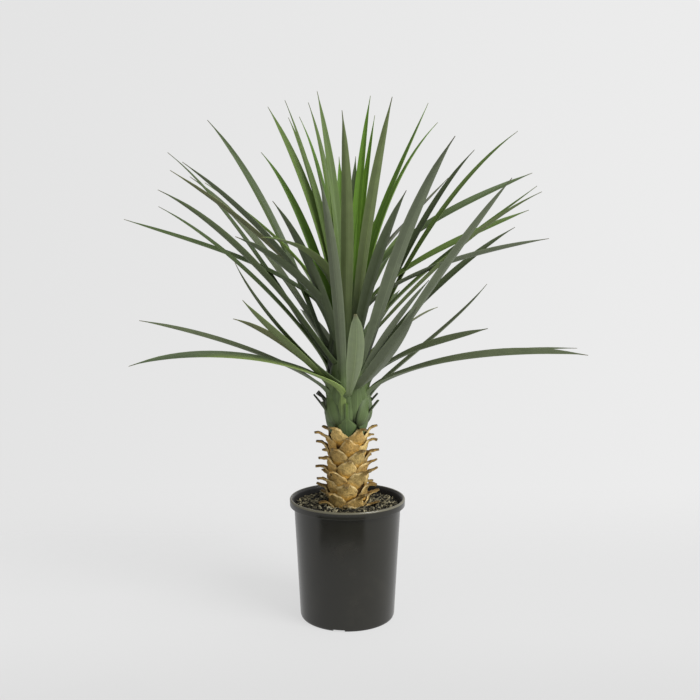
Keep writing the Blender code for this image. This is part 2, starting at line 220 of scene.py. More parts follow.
# %% A smooth reading between the rows of a table
def read(table, at):
    """Reads columns from rows of (place, value, ...) along a smooth curve through them."""
    last = len(table) - 1
    i = next((i for i in range(last) if at <= table[i + 1][0]), last - 1)
    rows = [table[max(0, min(last, i + k))] for k in (-1, 0, 1, 2)]
    low, high = rows[1][0], rows[2][0]
    part = max(0.0, min(1.0, (at - low) / (high - low)))
    values = []
    for before, here, there, after in zip(*(row[1:] for row in rows)):
        slope_in = (there - before) * (high - low) / max(high - rows[0][0], 1e-9)
        slope_out = (after - here) * (high - low) / max(rows[3][0] - low, 1e-9)
        if (here - before) * (there - here) <= 0:
            slope_in = 0
        if (there - here) * (after - there) <= 0:
            slope_out = 0
        p2, p3 = part * part, part**3
        values.append(
            here * (2 * p3 - 3 * p2 + 1)
            + there * (3 * p2 - 2 * p3)
            + slope_in * (p3 - 2 * p2 + part)
            + slope_out * (p3 - p2)
        )
    return values


print("Halfway between 1 and 3 the table reads", read([(0, 1), (1, 3)], 0.5))

# %% [markdown]
# ## The camera, floor and light
# The photograph was taken from a little above the leaves' middle, looking slightly down.
# The lens is worked out from the ellipses of the pot's rim and base. The studio is a
# white cove, in which no line parts floor and wall. A round floor that turns transparent
# further out does the same: beyond it the eye sees the world, whose white is the wall.
# The floor also glows a little, so that its white keeps up with the wall's.

# %% Camera
CAMERA_PLACE = (0.0045, -1.419, 0.592)
CAMERA_DOWN_DEGREES = 5.14
CAMERA_LENS_MM = 42.8
camera = bpy.data.objects.new("camera", bpy.data.cameras.new("camera"))
camera.data.lens = CAMERA_LENS_MM
camera.location = CAMERA_PLACE
camera.rotation_euler = (math.radians(90 - CAMERA_DOWN_DEGREES), 0, 0)
scene.collection.objects.link(camera)
scene.camera = camera
print("Camera is", round(-camera.location.y, 2), "m in front of the plant")

# %% Floor
FLOOR_RADIUS = 6.0
FLOOR_SOLID_TO = 0.15
FLOOR_GONE_FROM = 0.90
FLOOR_GLOW = 0.61
FLOOR_FULL_GLOW = (-0.36, -0.06)
floor_bm = bmesh.new()
bmesh.ops.create_circle(floor_bm, cap_ends=True, radius=FLOOR_RADIUS, segments=96)
floor_mesh = bpy.data.meshes.new("studio_floor")
floor_bm.to_mesh(floor_mesh)
floor_bm.free()
floor = bpy.data.objects.new("studio_floor", floor_mesh)
scene.collection.objects.link(floor)
floor_paint = Finish("pale studio floor", 0.9, 0.1)
floor_paint.coloured(seen(116, 116, 116))
depth = floor_paint.node(
    "ShaderNodeSeparateXYZ", None, {0: floor_paint.object_place()}, "Y"
)
near_plant = depth.step(*FLOOR_FULL_GLOW)
glow = floor_paint.mixed(near_plant, seen(247, 247, 247), seen(255, 255, 255))
floor_paint.put(floor_paint.shader.inputs["Emission Color"], glow)
floor_paint.shader.inputs["Emission Strength"].default_value = FLOOR_GLOW
cove = floor_paint.node(
    "ShaderNodeMixShader",
    None,
    {
        0: depth.step(FLOOR_SOLID_TO, FLOOR_GONE_FROM),
        1: floor_paint.shader_of("Principled BSDF"),
        2: floor_paint.node("ShaderNodeBsdfTransparent"),
    },
)
floor_paint.put(floor_paint.nodes["Material Output"].inputs["Surface"], cove)
floor_mesh.materials.append(floor_paint.material)
print("The floor fades out", FLOOR_GONE_FROM, "m behind the plant")

# %% [markdown]
# Glossy plastic shows what stands around it. In the photograph a dark band lies across the
# pot's upper front: something dark on the floor before it. A dark mat just out of the
# picture, bent round the pot, gives that reflection. Only glossy rays see it, so it casts
# no shadow.

# %% Dark mat in front
MAT_RADII = (0.39, 0.56)
MAT_DEGREES = (-147, -56)
MAT_STEPS = 24
MAT_HEIGHT = 0.002
mat_bm = bmesh.new()
rims = []
for radius in MAT_RADII:
    rims.append([])
    for step in range(MAT_STEPS + 1):
        part = step / MAT_STEPS
        angle = math.radians(MAT_DEGREES[0] + (MAT_DEGREES[1] - MAT_DEGREES[0]) * part)
        place = (radius * math.cos(angle), radius * math.sin(angle), MAT_HEIGHT)
        rims[-1].append(mat_bm.verts.new(place))
mat_bm.faces.new(rims[0] + rims[1][::-1])
mat_mesh = bpy.data.meshes.new("dark_mat")
mat_bm.to_mesh(mat_mesh)
mat_bm.free()
mat = bpy.data.objects.new("dark_mat", mat_mesh)
mat.visible_camera = False
mat.visible_shadow = False
mat.visible_diffuse = False
scene.collection.objects.link(mat)
mat_paint = Finish("dark mat", 0.9, 0.1)
mat_paint.coloured(seen(16, 18, 14))
mat_mesh.materials.append(mat_paint.material)
print("The mat lies", MAT_RADII[0], "m in front")

# %% [markdown]
# The light comes mostly from the right, from the front and from above. That is what shows
# the leaves' folds: each keel parts a light half from a dark one. The world does most of
# it, brighter on its right side, and one broad sun helps. The camera sees the world as an
# even white all the same, because the Light Path node tells its rays from the others.

# %% Light
WALL_SEEN = (0.722, 0.893)
WALL_LIGHT = (0.24, 0.86)
SUN_FROM = (0.62, -0.48, 0.62)
SUN_SIZE_DEGREES = 34
SUN_STRENGTH = 2.1
world = bpy.data.worlds.new("white studio wall")
scene.world = world
surround = Nodes(world)
gaze = surround.node("ShaderNodeTexCoord", output="Generated")
rightward = surround.node("ShaderNodeSeparateXYZ", None, {0: gaze}) * 0.5 + 0.5
seen_wall = rightward * (WALL_SEEN[1] - WALL_SEEN[0]) + WALL_SEEN[0]
lit_wall = rightward * (WALL_LIGHT[1] - WALL_LIGHT[0]) + WALL_LIGHT[0]
to_camera = surround.node("ShaderNodeLightPath", output="Is Camera Ray")
strength = seen_wall * to_camera + lit_wall * (1 - to_camera)
background = surround.nodes["Background"]
background.inputs["Color"].default_value = (1.0, 1.0, 1.0, 1.0)
surround.put(background.inputs["Strength"], strength)
sun = bpy.data.lights.new("window side", "SUN")
sun.energy = SUN_STRENGTH
sun.angle = math.radians(SUN_SIZE_DEGREES)
sun_lamp = bpy.data.objects.new("window side", sun)
sun_lamp.rotation_euler = Vector(SUN_FROM).to_track_quat("Z", "Y").to_euler()
scene.collection.objects.link(sun_lamp)
print("Lit by a white wall and one broad sun")

# %% [markdown]
# ## The nursery pot
# A 200 mm pot is injection moulded in thin black plastic: a plain taper, a rolled lip with
# a skirt under it for stiffness, and drain notches in the base edge. It is one line spun
# round the axis. The line's corners are rounded first with a vertex bevel, which is
# simpler than bevelling the rings of the finished shell.

# %% Pot sizes
POT_LINE = (
    (0.0, 0.0),
    (0.0782, 0.0),
    (0.0812, 0.0008),
    (0.0822, 0.0040),
    (0.0924, 0.1955),
    (0.0945, 0.2030),
    (0.0972, 0.2033),
    (0.0978, 0.1955),
    (0.0998, 0.1955),
    (0.1000, 0.2062),
    (0.0988, 0.2080),
    (0.0968, 0.2080),
    (0.0952, 0.2064),
    (0.0928, 0.2030),
    (0.0904, 0.1955),
    (0.0802, 0.0060),
    (0.0784, 0.0025),
    (0.0, 0.0025),
)
POT_STEPS = 144
POT_ROUNDING = 0.0006
NOTCH_COUNT = 4
NOTCH_FIRST_DEGREES = -100
NOTCH_SIZE = (0.034, 0.020, 0.0064)
NOTCH_FROM_AXIS = 0.083


# %% Spin the pot
def spun(line, steps, rounding=0.0):
    bm = bmesh.new()
    points = [bm.verts.new((radius, 0, height)) for radius, height in line]
    for pair in zip(points, points[1:]):
        bm.edges.new(pair)
    if rounding:
        bmesh.ops.bevel(
            bm,
            geom=points[1:-1],
            offset=rounding,
            offset_type="OFFSET",
            segments=3,
            profile=0.5,
            affect="VERTICES",
            material=-1,
        )
    bmesh.ops.spin(
        bm,
        geom=bm.verts[:] + bm.edges[:],
        cent=(0, 0, 0),
        axis=(0, 0, 1),
        angle=math.tau,
        steps=steps,
        use_merge=True,
    )
    bmesh.ops.remove_doubles(bm, verts=bm.verts, dist=1e-6)
    bmesh.ops.recalc_face_normals(bm, faces=bm.faces)
    return bm


pot_bm = spun(POT_LINE, POT_STEPS, rounding=POT_ROUNDING)
print("The pot's shell has", len(pot_bm.faces), "faces")

# %% [markdown]
# The notches are cut with a Boolean, as in the CAD model: four small blocks are taken
# away from the base edge. The exact solver is slower than the others, but it leaves the
# thin wall clean.


# %% Cut the drain notches
def notch_blocks():
    bm = bmesh.new()
    for i in range(NOTCH_COUNT):
        block = bmesh.ops.create_cube(bm, size=1)["verts"]
        bmesh.ops.scale(bm, vec=NOTCH_SIZE, verts=block)
        bmesh.ops.translate(bm, vec=(NOTCH_FROM_AXIS, 0, 0), verts=block)
        angle = math.radians(NOTCH_FIRST_DEGREES + i * 360 / NOTCH_COUNT)
        turn = Matrix.Rotation(angle, 3, "Z")
        bmesh.ops.rotate(bm, cent=(0, 0, 0), matrix=turn, verts=block)
    mesh = bpy.data.meshes.new("notch_blocks")
    bm.to_mesh(mesh)
    bm.free()
    return bpy.data.objects.new("notch_blocks", mesh)


def with_notches(bm):
    mesh = bpy.data.meshes.new("uncut_pot")
    bm.to_mesh(mesh)
    uncut = bpy.data.objects.new("uncut_pot", mesh)
    blocks = notch_blocks()
    for thing in (uncut, blocks):
        scene.collection.objects.link(thing)
    cut = uncut.modifiers.new("notches", "BOOLEAN")
    cut.object = blocks
    cut.operation = "DIFFERENCE"
    cut.solver = "EXACT"
    bpy.context.view_layer.update()
    graph = bpy.context.evaluated_depsgraph_get()
    bm.clear()
    bm.from_mesh(uncut.evaluated_get(graph).to_mesh())
    for thing in (uncut, blocks):
        bpy.data.objects.remove(thing)
    return bm


pot_bm = with_notches(pot_bm)

# %% [markdown]
# Moulded polypropylene is nearly black with a warm cast, and satin: the surround shows in it
# as a soft grey sheen. Moulding leaves it slightly uneven, so a broad noise stretched upwards
# varies the roughness, and a fine one gives it a faint skin. Two masks are made from height
# and distance to the axis. One keeps the inner wall dull and paints shade on it. The other
# paints a highlight along the top edge of the lip.

# %% Pot plastic
# Each mask rises from 0 to 1 between two heights or two distances from the axis
INSIDE_ABOVE = (0.1950, 0.1962)
INSIDE_WITHIN = (0.0930, 0.0950)
HIGHLIGHT_ABOVE = (0.2044, 0.2062)
HIGHLIGHT_BEYOND = (0.0958, 0.0970)
plastic = Finish("black nursery pot plastic", 0.25, 0.5)
pot_place = plastic.object_place()
flow = plastic.grain(plastic.stretched(pot_place, (1, 1, 0.25)), 0.020)
skin = plastic.grain(pot_place, 0.0016, 2.0)
dust = plastic.grain(pot_place, 0.035, 4.0).step(0.50, 0.78)
level = plastic.node(
    "ShaderNodeVectorMath", {"operation": "MULTIPLY"}, {0: pot_place, 1: (1, 1, 0)}
)
from_axis = plastic.node("ShaderNodeVectorMath", {"operation": "LENGTH"}, {0: level}, "Value")
height = plastic.node("ShaderNodeSeparateXYZ", None, {0: pot_place}, "Z")
# The inner wall is painted dark as shade, and made duller
inside = height.step(*INSIDE_ABOVE) * (1 - from_axis.step(*INSIDE_WITHIN))
outside = plastic.mixed(dust * 0.5, seen(31, 30, 23), seen(44, 42, 34))
# A painted highlight along the top edge of the lip
lip_highlight = height.step(*HIGHLIGHT_ABOVE) * from_axis.step(*HIGHLIGHT_BEYOND)
outside = plastic.mixed(lip_highlight * 0.9, outside, seen(112, 108, 90))
plastic.coloured(plastic.mixed(inside, outside, seen(12, 11, 8)))
plastic.roughened(0.18 + flow * 0.07 + dust * 0.05 + inside * 0.4)
plastic.bumped(skin * 0.4 + flow * 0.6, 0.00010)
finished("nursery_pot", pot_bm, plastic, "pot", 30)

# %% [markdown]
# ## The compost
# The compost is composted bark: dark crumbs with paler, olive-grey chips lying on them.
# The bed is a spun disc whose top is lifted by noise. The chips are low-count spheres,
# squashed and turned at random, and sunk into the bed so that none floats.

# %% Compost sizes
BED_TOP = 0.1965
BED_SIDE = ((0.0, 0.0028), (0.0781, 0.0028), (0.0798, 0.0060), (0.0900, 0.1950))
BED_RINGS = 40
BED_RING_RADII = (0.0896, 0.0282)
HOLE_SIDE = ((0.028, 0.1265), (0.0, 0.1265))
LUMPS_PER_METRE = 90
LUMP_HEIGHT = 0.0022
CHIP_COUNT = 900
CHIP_LENGTHS = (0.0045, 0.0140)
CHIP_SHORTENED = (0.6, 1.0)
CHIP_WIDTHS = (0.18, 0.46)
CHIP_DEPTHS = (0.12, 0.30)
CHIP_DENT = 0.16
CHIP_TILT = 0.5
CHIP_RING = (0.036, 0.0862)
CHIP_RISES = (-0.0004, 0.0020)
# The two powers of a beta distribution that leans to dark tones
CHIP_TONE_SPREAD = (1.1, 1.6)


def bed_height(x, y):
    dimension, lacunarity, octaves = 0.8, 2.1, 4
    place = Vector((x, y, 0.3)) * LUMPS_PER_METRE
    return BED_TOP + LUMP_HEIGHT * noise.fractal(place, dimension, lacunarity, octaves)


# %% Bed
outermost, innermost = BED_RING_RADII
bed_line = list(BED_SIDE)
for ring in range(BED_RINGS + 1):
    radius = outermost + (innermost - outermost) * ring / BED_RINGS
    bed_line.append((radius, BED_TOP))
bed_bm = spun(bed_line + list(HOLE_SIDE), POT_STEPS)
for vert in bed_bm.verts:
    if abs(vert.co.z - BED_TOP) < 1e-5:
        vert.co.z = bed_height(vert.co.x, vert.co.y)


# %% Chips
def add_chips(bm):
    chance = random.Random(21)
    tone = bm.verts.layers.float.new("chip_tone")
    for _ in range(CHIP_COUNT):
        chip = bmesh.ops.create_icosphere(bm, subdivisions=1, radius=0.5)["verts"]
        length = chance.uniform(*CHIP_LENGTHS) * chance.uniform(*CHIP_SHORTENED)
        width = length * chance.uniform(*CHIP_WIDTHS)
        depth = length * chance.uniform(*CHIP_DEPTHS)
        for vert in chip:
            vert.co += Vector([chance.uniform(-CHIP_DENT, CHIP_DENT) for _ in range(3)])
        bmesh.ops.scale(bm, vec=(length, width, depth), verts=chip)
        tilts = [chance.gauss(0, CHIP_TILT), chance.gauss(0, CHIP_TILT)]
        for angle, axis in zip([*tilts, chance.uniform(0, math.tau)], "XYZ"):
            turn = Matrix.Rotation(angle, 3, axis)
            bmesh.ops.rotate(bm, cent=(0, 0, 0), matrix=turn, verts=chip)
        radius = math.sqrt(chance.uniform(*(radius**2 for radius in CHIP_RING)))
        angle = chance.uniform(0, math.tau)
        x, y = radius * math.cos(angle), radius * math.sin(angle)
        z = bed_height(x, y) + chance.uniform(*CHIP_RISES)
        bmesh.ops.translate(bm, vec=(x, y, z), verts=chip)
        shade = chance.betavariate(*CHIP_TONE_SPREAD)
        for vert in chip:
            vert[tone] = shade


chips_bm = bmesh.new()
add_chips(chips_bm)
print(CHIP_COUNT, "bark chips")

# %% [markdown]
# Both pieces share one paint. Each chip carries its own tone as an attribute, from almost
# black to weathered olive-grey, and the bed, which has none, stays dark. A fine grain in
# colour and relief makes the surface crumbly.

# %% Compost paint
compost = Finish("bark compost", 0.88, 0.25)
bark_place = compost.object_place()
crumb = compost.grain(bark_place, 0.0022, 5.0, 0.65)
chip_tone = compost.attribute("chip_tone")
weathered = (chip_tone * 0.9 + (crumb - 0.5) * 0.7).step(0.0, 0.76)
bark = compost.mixed(weathered, seen(27, 25, 20), seen(176, 168, 138))
compost.coloured(bark)
compost.bumped(crumb, 0.0009)
finished("compost_bed", bed_bm, compost, "soil", 60)
finished("bark_chips", chips_bm, compost, "soil", 25)

# %% [markdown]
# ## A sheet that bends into a leaf
# Leaves, leaf bases and stubs are all the same kind of body: long, channelled and thin at
# the rims. So one flat sheet is made once, two units wide, long and thick, by giving a
# grid a thickness. Each leaf is then a copy of it whose points are looked up along the
# leaf's own path. Both skins keep the same lay of faces, so they never cross.

# %% Flat sheet
def flat_sheet(across, along):
    bm = bmesh.new()
    bmesh.ops.create_grid(bm, x_segments=across, y_segments=along, size=1)
    bmesh.ops.solidify(bm, geom=bm.faces[:], thickness=2)
    bmesh.ops.translate(bm, vec=(0, 0, 1), verts=bm.verts)
    uv = bm.loops.layers.uv.new("blade")
    for face in bm.faces:
        for loop in face.loops:
            loop[uv].uv = ((loop.vert.co.x + 1) / 2, (loop.vert.co.y + 1) / 2)
    mesh = bpy.data.meshes.new("flat_sheet")
    bm.to_mesh(mesh)
    bm.free()
    return mesh


# %% Bend a copy of the sheet along a path
CRUMPLES_PER_METRE = 110
CRUMPLE_OCTAVES = 3
CRUMPLE_TO = (1.05, 3.2)
CRUMPLE_SEED = 2
# Blender seeds its noise vectors by the clock, so without this each run would differ
noise.seed_set(CRUMPLE_SEED)


def add_blade(bm, sheet, along, path, paint, balance=0.0, crumple=0.0):
    """Adds a blade to a growing mesh. The path gives, at each station, its centre, the
    direction across, the half width, how far the edges cup inwards, the thickness, what
    part of it is left at the rims, and the power of the channel's curve: 2 is a round
    trough and 1 a sharp fold. The path runs along the keel, or with some balance between
    keel and edges. Crumple is how far points stray, as on dried skin, fading towards the
    end."""
    blade = bmesh.new()
    blade.from_mesh(sheet)
    colour = blade.verts.layers.float_color.new("paint")
    frames = []
    fade_end, fade_rate = CRUMPLE_TO
    last = len(path) - 1
    for i, (centre, side, *shape) in enumerate(path):
        onward = (path[min(i + 1, last)][0] - path[max(i - 1, 0)][0]).normalized()
        across = (side - onward * side.dot(onward)).normalized()
        frames.append((centre, across, onward.cross(across), *shape))
    for vert in blade.verts:
        x, y, z = vert.co
        row = round((y + 1) / 2 * along)
        centre, across, inward, half_width, cup, thickness, rim, power = frames[row]
        thin = 1 - (1 - rim) * x * x
        depth = cup * (abs(x) ** power - balance) + z * thickness / 2 * thin
        place = centre + across * x * half_width + inward * depth
        stray = noise.turbulence_vector(place * CRUMPLES_PER_METRE, CRUMPLE_OCTAVES, False)
        fade = min(1.0, fade_rate * (fade_end - row / along))
        vert.co = place + stray * crumple * fade
        vert[colour] = (*paint(x, row / along, z), 1.0)
    loose = bpy.data.meshes.new("blade")
    blade.to_mesh(loose)
    blade.free()
    bm.from_mesh(loose)
    bpy.data.meshes.remove(loose)


print("A 4 by 10 sheet has", len(flat_sheet(4, 10).polygons), "faces")

# %% [markdown]
# ## The trunk
# A yucca's trunk is covered by what its shed leaves left: cupped bases, each wider than
# its neighbour's gap, in one shallow helix of five and a half bases a turn. Each ends in
# a dry stub that curls away from the trunk. The bases are blades too, short and wide,
# from a pointed foot through the broad cup to the narrow cut end of the stub.

# %% Trunk sizes
TRUNK_TOP = 0.322
TRUNK_RADIUS = 0.029
TRUNK_LINE = (
    (0.0, 0.1268),
    (0.0277, 0.1268),
    (0.0277, 0.1965),
    (0.0290, 0.2005),
    (0.0290, 0.3070),
    (0.0258, 0.3150),
    (0.0255, TRUNK_TOP),
    (0.0, TRUNK_TOP),
)
BASES_PER_TURN = 5.5
BASE_DROP = 0.00342
BASE_COUNT = 41
TOP_BASE_HEIGHT = 0.3212
TOP_BASE_DEGREES = -122
LOWEST_BASE = BED_TOP - 0.010
ROUND_STEPS = 48
BASE_ACROSS = 14
BASE_ALONG = 36
# (place along, rise, lift off the stem, half width, cup, thickness, rim, power)
BASE_SHAPE = (
    (0.00, -0.0205, -0.0010, 0.0030, 0.0004, 0.0030, 0.5, 2.0),
    (0.10, -0.0165, 0.0000, 0.0085, 0.0018, 0.0046, 0.4, 2.0),
    (0.26, -0.0105, 0.0010, 0.0158, 0.0048, 0.0056, 0.3, 2.0),
    (0.42, -0.0036, 0.0026, 0.0176, 0.0056, 0.0056, 0.3, 2.2),
    (0.57, 0.0044, 0.0050, 0.0126, 0.0030, 0.0048, 0.3, 2.4),
    (0.68, 0.0096, 0.0074, 0.0082, 0.0012, 0.0044, 0.4, 2.4),
    (0.77, 0.0128, 0.0104, 0.0046, 0.0006, 0.0046, 0.7, 2.0),
)
# Beyond its shape each base runs out in a stub: (place along, part of the stub's length)
STUB_STATIONS = ((0.85, 0.33), (0.93, 0.7), (1.0, 1.0))
STUB_DEPTH = 1.25
# A leaf cut later has a flatter, more pointed shield that draws in to a strip
SHIELD_SHAPE = (
    (0.00, -0.0200, 0.0006, 0.0010, 0.0002, 0.0030, 0.5, 2.0),
    (0.14, -0.0140, 0.0014, 0.0078, 0.0012, 0.0040, 0.4, 2.0),
    (0.30, -0.0060, 0.0026, 0.0144, 0.0040, 0.0046, 0.3, 2.0),
    (0.44, 0.0000, 0.0036, 0.0166, 0.0056, 0.0046, 0.3, 2.0),
    (0.56, 0.0050, 0.0046, 0.0128, 0.0034, 0.0044, 0.3, 2.0),
    (0.66, 0.0100, 0.0062, 0.0086, 0.0014, 0.0042, 0.5, 2.0),
    (0.77, 0.0160, 0.0076, 0.0036, 0.0004, 0.0040, 0.7, 2.0),
)


# %% Path of one shed leaf's base
def directions(angle):
    outward = Vector((math.cos(angle), math.sin(angle), 0))
    return outward, Vector((0, 0, 1)).cross(outward)


def base_path(
    angle, height, radius_at, shape, lean, reach, rise, arch, end_width, lowest, flare=1.0
):
    """Stations from the foot of the cup to the cut end of the stub. The cup leans a
    little to one side, and flare is how broad its top is. The stub reaches out, ends
    higher or lower by its rise, arches on the way, and narrows to half its end's width."""
    outward, side = directions(angle)
    shape = [
        (at, up, lift, half * (flare if up > 0 else 1.0), *section)
        for at, up, lift, half, *section in shape
    ]
    _, start_rise, start_lift, half_width, cup, thickness, rim, power = shape[-1]
    for place, part in STUB_STATIONS:
        shape.append((
            place,
            start_rise + rise * part + arch * 4 * part * (1 - part),
            start_lift + reach * part,
            half_width + (end_width - half_width) * part,
            cup * (1 - 0.5 * part),
            thickness + (end_width * STUB_DEPTH - thickness) * part,
            rim,
            power,
        ))
    path = []
    for i in range(BASE_ALONG + 1):
        up, lift, *section = read(shape, i / BASE_ALONG)
        level = max(height + up, lowest)
        centre = outward * (radius_at(level) + lift) + Vector((0, 0, level))
        path.append((centre + side * lean * up, side, *section))
    return path


# %% [markdown]
# The paint of a base is worked out point by point as it is placed: dull straw on the swelling,
# and pale along the lip, where the dry skin has frayed. A dark brown is painted as shade down
# in the crevice at its foot, on its face towards the trunk and on the core between the bases.
# No two bases have the same tone. The shader adds the fibres. Each change of colour has a
# place where it starts and a rate at which it takes over, and `rising` and `falling` turn
# these into a part from 0 to 1.

# %% Trunk paint, point by point
STRAW = seen(206, 178, 112)
STRAW_BROWN = seen(168, 132, 70)
# Painted shade: the dark brown of crevices, inner faces and the hidden core
STRAW_PAINTED_SHADE = seen(86, 62, 30)
STRAW_OCHRE = seen(196, 148, 62)
STRAW_PALE = seen(232, 208, 150)
CUT_GREY = seen(136, 120, 84)
INNER_SHADE = 0.6
# (where it starts or ends, how fast it changes), along the base or, for rims, across it
OCHRE_FROM = (0.06, 7.0)
BODY_FROM = (0.22, 6.0)
LIP_FROM = (0.44, 6)
LIP_TO = (0.86, 9)
LIP_RIM = (0.70, 2.6)
STUB_FROM = (0.76, 2.2)
CUT_FROM = (0.93, 12.0)


def part_of(amount):
    return max(0.0, min(1.0, amount))


def rising(at, start, rate):
    return part_of((at - start) * rate)


def falling(at, end, rate):
    return part_of((end - at) * rate)


def blended(first, second, part):
    return tuple(a + (b - a) * part for a, b in zip(first, second))


def straw_paint(tone, browning):
    body = blended(STRAW, STRAW_BROWN, browning)

    def paint(x, y, z):
        # The foot, down in the crevice, starts in painted shade
        colour = blended(STRAW_PAINTED_SHADE, STRAW_OCHRE, rising(y, *OCHRE_FROM))
        colour = blended(colour, body, rising(y, *BODY_FROM))
        on_lip = rising(y, *LIP_FROM) * falling(y, *LIP_TO)
        colour = blended(colour, STRAW_PALE, rising(abs(x), *LIP_RIM) * on_lip)
        colour = blended(colour, STRAW_BROWN, rising(y, *STUB_FROM))
        colour = blended(colour, CUT_GREY, rising(y, *CUT_FROM))
        # The face towards the trunk is painted in shade
        if z > 0:
            colour = blended(colour, STRAW_PAINTED_SHADE, INNER_SHADE)
        return tuple(value * tone for value in colour)

    return paint


# %% Grow the trunk
BASE_CRUMPLE = 0.0021
# How far the bases stray from an even helix, and how their stubs differ
ANGLE_STRAY = 0.055
HEIGHT_STRAY = 0.0020
LEAN_STRAY = 0.24
STUB_REACHES = (0.012, 0.018)
STUB_RISES = (-0.001, 0.0075)
STUB_ARCHES = (-0.0005, 0.0022)
STUB_ENDS = (0.0024, 0.0036)
FLARES = (0.85, 1.4)
# The two topmost bases frame the foot of the neck, so they keep their exact places
EVEN_BASES = 2
EVEN_FLARE = 0.92
STRAW_TONES = (0.80, 1.12)
BROWNINGS = (0.0, 0.8)


def trunk_radius(_height):
    return TRUNK_RADIUS


def grown_trunk():
    chance = random.Random(3)
    bm = spun(TRUNK_LINE, ROUND_STEPS)
    bm.loops.layers.uv.new("blade")
    colour = bm.verts.layers.float_color.new("paint")
    # The core is seen only in gaps between bases, so it is painted in shade
    for vert in bm.verts:
        vert[colour] = (*STRAW_PAINTED_SHADE, 1.0)
    sheet = flat_sheet(BASE_ACROSS, BASE_ALONG)
    for i in range(BASE_COUNT):
        angle = math.radians(TOP_BASE_DEGREES) + i * math.tau / BASES_PER_TURN
        stray = 0.0 if i < EVEN_BASES else 1.0
        angle += chance.gauss(0, ANGLE_STRAY) * stray
        height = TOP_BASE_HEIGHT - i * BASE_DROP
        height += chance.uniform(-HEIGHT_STRAY, HEIGHT_STRAY) * stray
        lean = chance.gauss(0, LEAN_STRAY) * stray
        stub = [
            chance.uniform(*limits)
            for limits in (STUB_REACHES, STUB_RISES, STUB_ARCHES, STUB_ENDS)
        ]
        flare = chance.uniform(*FLARES) if stray else EVEN_FLARE
        path = base_path(
            angle, height, trunk_radius, BASE_SHAPE, lean, *stub, LOWEST_BASE, flare
        )
        paint = straw_paint(chance.uniform(*STRAW_TONES), chance.uniform(*BROWNINGS))
        add_blade(bm, sheet, BASE_ALONG, path, paint, crumple=BASE_CRUMPLE)
    return bm


trunk_bm = grown_trunk()

# %% [markdown]
# Dry leaf base is fibrous and matt. Its streaks follow the blade's own map, many across
# and few along. Blotches on Object coordinates run over all bases alike, as weather does,
# and a fine crackle of dark specks stands for the torn fibres. Streaks and crackle also
# lift the surface a little.

# %% Dry leaf-base finish
straw = Finish("dry leaf bases", 0.78, 0.25)
straw_map = straw.node("ShaderNodeUVMap", {"uv_map": "blade"})
fibre = straw.grain(straw.stretched(straw_map, (24, 3.0, 1)), 1.0, 4.0)
blotch = straw.grain(straw.object_place(), 0.0070, 4.0, 0.6)
speck = straw.grain(straw.object_place(), 0.0019, 3.0, 0.6)
crackle = speck.step(0.34, 0.50)
worn = 0.56 + fibre * 0.40 + (blotch - 0.5) * 0.95 + crackle * 0.34
straw.coloured(straw.brightened(straw.attribute("paint", "Color"), worn))
straw.roughened(0.68 + fibre * 0.2)
straw.bumped(fibre * 0.5 + blotch * 0.6 + crackle * 0.35, 0.0014)
finished("trunk_bases", trunk_bm, straw, "trunk", 55)

# %% [markdown]
# ## The leaf crown
# Each leaf grips the stem with a wide base below its fork, rises, then arches out to its
# tip. The path is the CAD model's: a few stations on the stem, then a cubic curve that
# leaves the fork upwards and bends by its own bow. The table gives every leaf's fork
# height, the share of its length that it first rises, its tip, its bow and sideways
# sweep, its width, its twist in degrees, how many degrees its grip is turned about the
# stem, and the kind of green it has.

